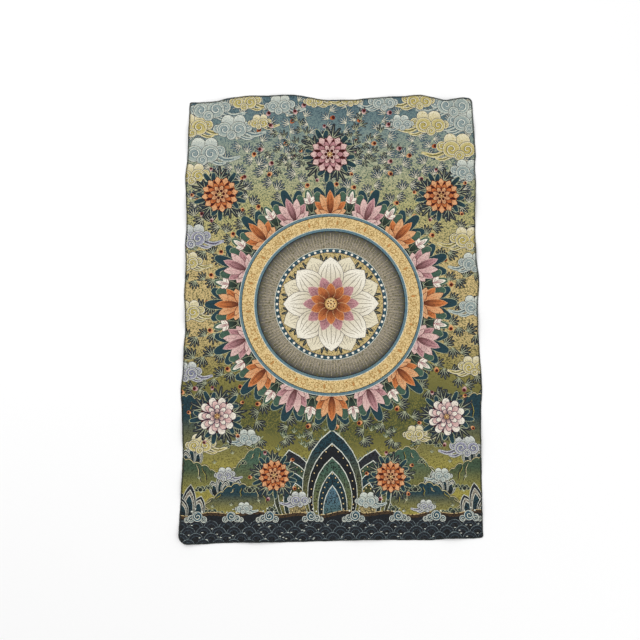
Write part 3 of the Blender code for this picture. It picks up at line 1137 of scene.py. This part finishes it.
# %% Heights
CLOTH_THICK = 0.0010
SQUEEZE = 0.00045
SQUEEZE_REACH = 2
Pucker = namedtuple("Pucker", "height length heading")
PUCKERS = (
    Pucker(0.00010, 0.047, 84), Pucker(0.00008, 0.031, 12), Pucker(0.00006, 0.023, 58),
    Pucker(0.00005, 0.019, 131),
)


def pucker(p):
    rise = np.zeros(np.shape(p))
    for n, row in enumerate(PUCKERS):
        along = (p * np.exp(-1j * radians(row.heading))).real
        rise = rise + row.height * np.sin(2 * pi * along / row.length + 2 * n) * np.cos(along * 9 + n)
    return rise


def top_of_cloth(p):
    return lift(p) + CLOTH_THICK + pucker(p)


print("puckers: at most", round(sum(row.height for row in PUCKERS) * 1000, 2), "mm")


# %% Colour the corners
UNDYED = np.array([*linear("8f8a78"), 1])
UNDYED_SHARES = (0.45, 0.3)
BACK_SPECKS = 0.45


def thread_colours(places):
    """The main and second colours, with the share as alpha. Each row of places lies within one shape."""
    middles = places.mean(axis=1)
    labels = top_shape[[finder.find_nearest((z.real, z.imag, 0))[2] for z in middles]]
    main, second = np.ones((*places.shape, 4)), np.ones((*places.shape, 4))
    order = np.argsort(labels, kind="stable")
    for group in np.split(order, np.flatnonzero(np.diff(labels[order])) + 1):
        shape, p = design[labels[group[0]]], places[group].ravel()
        main[group, :, :3] = shape.thread(p).reshape(len(group), -1, 3)
        second[group, :, :3] = shape.speck(p).reshape(len(group), -1, 3)
        second[group, :, 3] = shape.share
    return main, second


def blurred(colours, faces):
    """Mixes the colours of neighbouring points, and gives them at the corners of the faces."""
    total, hits = np.zeros_like(colours), np.zeros((len(colours), 1))
    for corner in faces.T:
        np.add.at(total, corner, colours[faces].mean(axis=1))
        np.add.at(hits, corner, 1)
    return (total / hits)[faces]


front_threads = thread_colours(front[front_faces])
rim_threads = [np.repeat(layer, 4, axis=1) for layer in thread_colours(rim_points[:, None])]
back_threads = [
    (1 - share) * blurred(layer[:, 0], back_faces) + share * UNDYED
    for share, layer in zip(UNDYED_SHARES, thread_colours(back[:, None])[::-1])
]
back_threads[1][..., 3] = BACK_SPECKS
print("threads: coloured at", front_faces.size + back_faces.size, "corners")

# %% Build the sheet
front_m, back_m = front / 1000, back / 1000
squeezed = SQUEEZE * np.clip(1 - (from_rim(back) - SEAM_INSET) / SQUEEZE_REACH, 0, 1)
top_z, under_z = top_of_cloth(front_m), lift(back_m) + squeezed
count = len(front)
places = np.concatenate([front_m, back_m]) - centre
corners = np.stack([places.real, places.imag, np.concatenate([top_z, under_z])], axis=1)
wall = np.stack([back_rim + count, back_rim[after] + count, rim[after], rim], axis=1)
all_faces = [*front_faces.tolist(), *(back_faces[:, ::-1] + count).tolist(), *wall.tolist()]

data = bpy.data.meshes.new("woven_cloth")
data.from_pydata(corners.tolist(), [], all_faces)


def per_corner(front_part, back_part, wall_part):
    """Joins what is known of the corners, in the order of the mesh's faces."""
    width = front_part.shape[-1]
    parts = (front_part, back_part[:, ::-1], wall_part)
    return np.concatenate([part.reshape(-1, width) for part in parts])


for name, *parts in zip(("main thread", "second thread"), front_threads, back_threads, rim_threads):
    layer = data.attributes.new(name, "FLOAT_COLOR", "CORNER")
    layer.data.foreach_set("color", per_corner(*parts).ravel().astype(np.float32))

kinds = np.zeros(len(all_faces), np.int32)
kinds[len(front_faces):len(front_faces) + len(back_faces)] = 1
data.polygons.foreach_set("material_index", kinds)
data.polygons.foreach_set("use_smooth", np.ones(len(all_faces), bool))


print("woven_cloth:", len(data.polygons), "faces")


# %% Soft normals
SLOPE_STEP = 0.0005


def slope(height, p):
    """The slopes of a height along x and y."""
    steps = (SLOPE_STEP, 1j * SLOPE_STEP)
    return [(height(p + step) - height(p - step)) / (2 * SLOPE_STEP) for step in steps]


def unit(x, y, z):
    out = np.stack(np.broadcast_arrays(x, y, z), axis=-1).astype(float)
    return out / np.linalg.norm(out, axis=-1, keepdims=True)


dx, dy = slope(top_of_cloth, front_m)
up = unit(-dx, -dy, 1.0)[front_faces]
dx, dy = slope(lift, back_m)
down = unit(dx, dy, -1.0)[back_faces]
out = -inward_normals(rim_points)
out = np.repeat(unit(out.real, out.imag, 0.0)[:, None], 4, axis=1)
data.normals_split_custom_set(per_corner(up, down, out).tolist())
print("normals: set at", len(data.loops), "corners")

# %% [markdown]
# ## A flat map of the sheet
#
# A model that leaves Blender carries its colours as a picture, so every corner also needs a place on a
# square. The front gets the full height, the back half that scale, and the rim a narrow strip.

# %% Lay the map out
SHEET_SPAN = 0.940
HALF_SHEET = 0.305 + 0.4615j
FRONT_CORNER, BACK_CORNER = 0.004 + 0.006j, 0.665 + 0.006j
STRIP_LEFT, STRIP_LONG = 0.67, 0.32
STRIP_LOW, STRIP_HIGH = 0.60, 0.62


def on_sheet(p, scale, corner):
    place = (p - centre + HALF_SHEET) * scale / SHEET_SPAN + corner
    return np.stack([place.real, place.imag], axis=-1)


lap = distance_along(rim_points)
strip = np.stack([lap[:-1], lap[1:], lap[1:], lap[:-1]], axis=1) / lap[-1] * STRIP_LONG + STRIP_LEFT
heights = np.broadcast_to([STRIP_LOW, STRIP_LOW, STRIP_HIGH, STRIP_HIGH], strip.shape)
bake = data.uv_layers.new(name="OFBake")
spread = per_corner(on_sheet(front_m[front_faces], 1, FRONT_CORNER),
                    on_sheet(back_m[back_faces], 0.5, BACK_CORNER), np.stack([strip, heights], axis=-1))
bake.uv.foreach_set("vector", spread.ravel().astype(np.float32))
cloth = put_in_scene("woven_cloth", data)
print("cloth:", len(data.vertices), "points,", len(data.polygons), "faces, valid:", not data.validate())

# %% [markdown]
# ## The weave
#
# Each weft thread runs across the cloth and shows on the face in short floats, shifted a little in every row
# as in twill. The shader counts rows from y and floats from x, in metres. For each float it throws dice:
# when the throw is below the share, the second colour comes up. The share itself is mottled, since a picture
# loom never repeats a fleck quite evenly.

# %% Shader helpers
def new_finish(name):
    """A new material, with its node tree and its main shader."""
    material = bpy.data.materials.new(name)
    material.use_nodes = True
    return material, material.node_tree, material.node_tree.nodes["Principled BSDF"]


def fill(tree, made, inputs):
    """Gives a node its inputs. Each is a value, or another node's output to link."""
    for name, value in inputs.items():
        if isinstance(value, bpy.types.NodeSocket):
            tree.links.new(value, made.inputs[name])
        else:
            made.inputs[name].default_value = value


def node(tree, kind, inputs, out=0, **settings):
    """Adds a node, and gives the output that is wanted of it."""
    made = tree.nodes.new("ShaderNode" + kind)
    for name, value in settings.items():
        setattr(made, name, value)
    fill(tree, made, inputs)
    return made.outputs[out]


def calc(tree, operation, *values):
    return node(tree, "Math", dict(enumerate(values)), operation=operation)


def spread_out(tree, value, low, high):
    """Takes a value from 0 to 1 to the range from low to high."""
    return calc(tree, "MULTIPLY_ADD", value, high - low, low)


def zigzag(tree, value):
    """Falls from 1 to 0 and rises to 1 again, once for each whole number."""
    return calc(tree, "ABSOLUTE", spread_out(tree, calc(tree, "FRACT", value), -1.0, 1.0))


def arch(tree, value, power):
    """The zigzag turned over and rounded: the higher the power, the flatter its top."""
    return calc(tree, "SUBTRACT", 1.0, calc(tree, "POWER", zigzag(tree, value), power))


def noise(tree, place, scale, detail=2.0):
    return node(tree, "TexNoise", {"Vector": place, "Scale": scale, "Detail": detail})


def mixed(tree, share, first, second):
    return node(tree, "Mix", {0: share, 6: first, 7: second}, 2, data_type="RGBA")


def tinted(tree, colour, tone_and_shade):
    return node(tree, "VectorMath", {0: colour, "Scale": tone_and_shade}, operation="SCALE")


def bumped(tree, height, distance, strength, **below):
    return node(tree, "Bump", {"Height": height, "Distance": distance, "Strength": strength, **below})


print("shader helpers are ready")

# %% The brocade
WEFT_PITCH = 0.00062
TWILL_STEP = 0.37
WARP = (*linear("4d493f"), 1)
WARP_SHARE = 0.55
FACE_FLOAT, BACK_FLOAT = 0.0014, 0.0085
CLUMPS = {"From Min": 0.41, "From Max": 0.60, "To Min": 0.0, "To Max": 2.3}


def brocade(name, float_long, evenness):
    """A weft-faced jacquard cloth, with floats of this length and threads this even in tone."""
    material, tree, shader = new_finish(name)
    place = node(tree, "TexCoord", {}, "Object")
    axes = node(tree, "SeparateXYZ", {0: place}).node.outputs
    rows = calc(tree, "DIVIDE", axes[1], WEFT_PITCH)
    row = calc(tree, "FLOOR", rows)
    shift = calc(tree, "MULTIPLY", row, TWILL_STEP)
    floats = calc(tree, "ADD", calc(tree, "DIVIDE", axes[0], float_long), shift)
    cell = node(tree, "CombineXYZ", {0: calc(tree, "FLOOR", floats), 1: row})
    dice = node(tree, "TexWhiteNoise", {0: cell}, "Value", noise_dimensions="2D")
    mottle = noise(tree, place, 340.0)
    streak = noise(tree, node(tree, "Mapping", {0: place, "Scale": (9.0, 420.0, 1.0)}), 1.0)

    main = node(tree, "Attribute", {}, "Color", attribute_name="main thread")
    second = node(tree, "Attribute", {}, "Color", attribute_name="second thread")
    clumps = node(tree, "MapRange", {"Value": mottle, **CLUMPS})
    odds = calc(tree, "MULTIPLY", second.node.outputs["Alpha"], clumps)
    chosen = calc(tree, "LESS_THAN", dice, odds)
    weft = mixed(tree, chosen, main, second)

    dive = arch(tree, floats, 6.0)
    warp_shows = calc(tree, "MULTIPLY", calc(tree, "SUBTRACT", 1.0, dive), WARP_SHARE)
    # The thread's height also tints the colour. It is darker in the grooves between weft rows and where each
    # float dives under the warp, and lighter on the crowns. That is painted shade and painted highlight,
    # beside the bump of the same height. The streaks and the dice vary the threads' own tone.
    crown_height_and_shade = calc(tree, "MULTIPLY", arch(tree, rows, 2.0), spread_out(tree, dive, 0.35, 1.0))
    tone_and_shade = calc(tree, "MULTIPLY", spread_out(tree, crown_height_and_shade, 0.78, 1.18),
                spread_out(tree, streak, evenness, 2 - evenness))
    tone_and_shade = calc(tree, "MULTIPLY", tone_and_shade, spread_out(tree, dice, 0.94, 1.06))
    soft = bumped(tree, noise(tree, place, 70.0, 3.0), 0.0012, 0.5)
    shine = calc(tree, "MULTIPLY", chosen, 0.08)
    fill(tree, shader, {
        "Base Color": tinted(tree, mixed(tree, warp_shows, weft, WARP), tone_and_shade),
        "Normal": bumped(tree, crown_height_and_shade, 0.00014, 0.8, Normal=soft),
        "Roughness": calc(tree, "SUBTRACT", spread_out(tree, mottle, 0.58, 0.82), shine),
        "Specular IOR Level": 0.10, "Sheen Weight": 0.05, "Sheen Roughness": 0.45,
    })
    return material


cloth.data.materials.append(brocade("brocade face", FACE_FLOAT, 0.88))
cloth.data.materials.append(brocade("brocade back", BACK_FLOAT, 0.70))
print("brocade: rows every", WEFT_PITCH * 1000, "mm")

# %% [markdown]
# ## The overlock
#
# An overlock machine casts two looper threads round the cut edge, one above and one below, and a needle
# thread pins both down 3 mm inside. Its stitches are about 1.5 mm apart. A stitch is a short list of places:
# how far along, how far in from the cut and how high above the ripple. A curve through all the places of a
# side, given a thread's thickness, is the whole seam.

# %% The stitches
STITCH_LONG = 0.0015
THREAD_RADIUS = 0.00023
LOOSENESS = 0.09
Turn = namedtuple("Turn", "along inset height")

UPPER_LOOPER = (
    Turn(0, 3.1, 1.24), Turn(0.25, 1.6, 1.36), Turn(0.46, 0.4, 1.18), Turn(0.54, 0.24, 0.9),
    Turn(0.75, 1.5, 1.36),
)
LOWER_LOOPER = (
    Turn(0, 2.9, 0.24), Turn(0.3, 1.5, 0.24), Turn(0.46, 0.4, 0.32), Turn(0.54, 0.24, 0.62),
    Turn(0.75, 1.5, 0.24),
)
NEEDLE = (Turn(0.04, 3.0, 1.1), Turn(0.18, 3.0, 1.5), Turn(0.82, 3.0, 1.5), Turn(0.96, 3.0, 1.1))

edge_inward = inward_normals(edge)
edge_lap = distance_along(edge)


def beside_edge(lap, inset):
    """The points at these distances along the edge, set in from it."""
    def round_trip(values):
        values = np.append(values, values[0])
        return np.interp(lap, edge_lap, values.real) + 1j * np.interp(lap, edge_lap, values.imag)
    inward = round_trip(edge_inward)
    return round_trip(edge) + inward / np.abs(inward) * inset


print("seam:", round(edge_lap[-1], 3), "metres, about", int(edge_lap[-1] / STITCH_LONG), "stitches")


# %% Sew the sides
def thread(name, turns, start, end, offset=0.0):
    """One thread's curve from start to end, both distances along the edge."""
    stitches = int((end - start) / STITCH_LONG)
    pitch = (end - start) / stitches
    along = np.array([n + t.along + offset for n in range(stitches) for t in turns])
    inset = np.tile([t.inset / 1000 for t in turns], stitches)
    height = np.tile([t.height / 1000 for t in turns], stitches)
    loose = 1 + LOOSENESS * np.sin(along * 2.4) * np.sin(along * 0.37)
    p = beside_edge(np.clip(start + along * pitch, start, end), inset * loose)
    z = lift(p) + height
    p = p - centre
    curve = bpy.data.curves.new(name, "CURVE")
    curve.dimensions = "3D"
    curve.bevel_depth = THREAD_RADIUS
    curve.bevel_resolution = 0
    curve.use_fill_caps = True
    run = curve.splines.new("POLY")
    run.points.add(len(p) - 1)
    run.points.foreach_set("co", np.stack([p.real, p.imag, z, np.ones(len(p))], axis=1).ravel())
    return put_in_scene(name, curve)


def sew_side(side, start, end):
    """The three threads of one side, joined in one mesh."""
    bpy.ops.object.select_all(action="DESELECT")
    threads = [
        thread(f"edging_{side}", UPPER_LOOPER, start, end), thread("lower", LOWER_LOOPER, start, end, 0.5),
        thread("needle", NEEDLE, start, end),
    ]
    for piece in threads:
        piece.select_set(True)
    bpy.context.view_layer.objects.active = threads[0]
    bpy.ops.object.convert(target="MESH")
    bpy.ops.object.join()
    made = bpy.context.view_layer.objects.active
    made.data.name = made.name
    bpy.ops.object.shade_smooth()
    made.select_set(False)
    print(made.name, len(made.data.polygons), "faces")
    return made


side_starts = edge_lap[np.cumsum([0] + [len(run) for run in side_runs])]
edgings = [sew_side(side.name, *ends) for side, *ends in zip(SIDES, side_starts, side_starts[1:])]


# %% Overlock thread
def spun_thread(name, dark, light):
    """A matt spun polyester thread, which varies in tone from stitch to stitch."""
    material, tree, shader = new_finish(name)
    place = node(tree, "TexCoord", {}, "Object")
    fibres = noise(tree, place, 5200.0)
    patches = mixed(tree, noise(tree, place, 420.0, 3.0), (*linear(dark), 1), (*linear(light), 1))
    fill(tree, shader, {
        "Base Color": tinted(tree, patches, spread_out(tree, fibres, 0.6, 1.4)),
        "Roughness": spread_out(tree, fibres, 0.7, 0.95),
        "Normal": bumped(tree, fibres, 0.00008, 0.8),
        "Sheen Weight": 0.15, "Specular IOR Level": 0.25,
    })
    return material


overlock_thread = spun_thread("overlock thread dyed", "15191a", "3d4541")
for piece in edgings:
    piece.data.materials.append(overlock_thread)
print("overlock thread on", len(edgings), "sides")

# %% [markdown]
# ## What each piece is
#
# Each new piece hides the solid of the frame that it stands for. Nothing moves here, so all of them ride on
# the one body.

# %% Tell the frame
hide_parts("woven_panel")
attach(cloth, "root")
for piece, side in zip(edgings, SIDES):
    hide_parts(f"overlock_{side.name}")
    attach(piece, "root")
area_of(edge)
print("sheet: cut area", round(area_of(edge), 5), "square metres")

# %% [markdown]
# ## Studio
#
# A pale floor, a large soft lamp from the top left, a weaker one from the lower right and a pale sky all
# round give almost no shadow. The tone curve is the plain one, so that the floor stays white and the dyes
# keep their values.

# %% Floor and light
FLOOR_SIZE = 8.0
FLOOR_DROP = 0.0004
FLOOR_TONE = 0.97
SKY_LIGHT = 0.62


def soft_lamp(name, place, size, power):
    """A square lamp that faces the middle of the panel."""
    lamp = bpy.data.lights.new(name, "AREA")
    lamp.size = size
    lamp.energy = power
    made = put_in_scene(name, lamp)
    made.location = place
    made.rotation_euler = (-Vector(place)).to_track_quat("-Z", "Y").to_euler()


bpy.ops.mesh.primitive_plane_add(size=FLOOR_SIZE, location=(0, 0, -FLOOR_DROP))
floor = bpy.context.active_object
floor.name = "floor"
white, white_tree, white_shader = new_finish("white floor")
fill(white_tree, white_shader, {"Base Color": (FLOOR_TONE, FLOOR_TONE, FLOOR_TONE, 1), "Roughness": 0.9})
floor.data.materials.append(white)
soft_lamp("key lamp", (-1.6, 1.9, 2.6), 2.2, 52)
soft_lamp("fill lamp", (2.0, -1.2, 2.4), 2.6, 30)

world = bpy.data.worlds.new("pale sky")
world.use_nodes = True
sky = world.node_tree.nodes["Background"]
fill(world.node_tree, sky, {"Color": (1, 1, 1, 1), "Strength": SKY_LIGHT})
bpy.context.scene.world = world
bpy.context.scene.view_settings.view_transform = "Standard"
print("studio: two lamps over a floor of", FLOOR_SIZE, "metres")
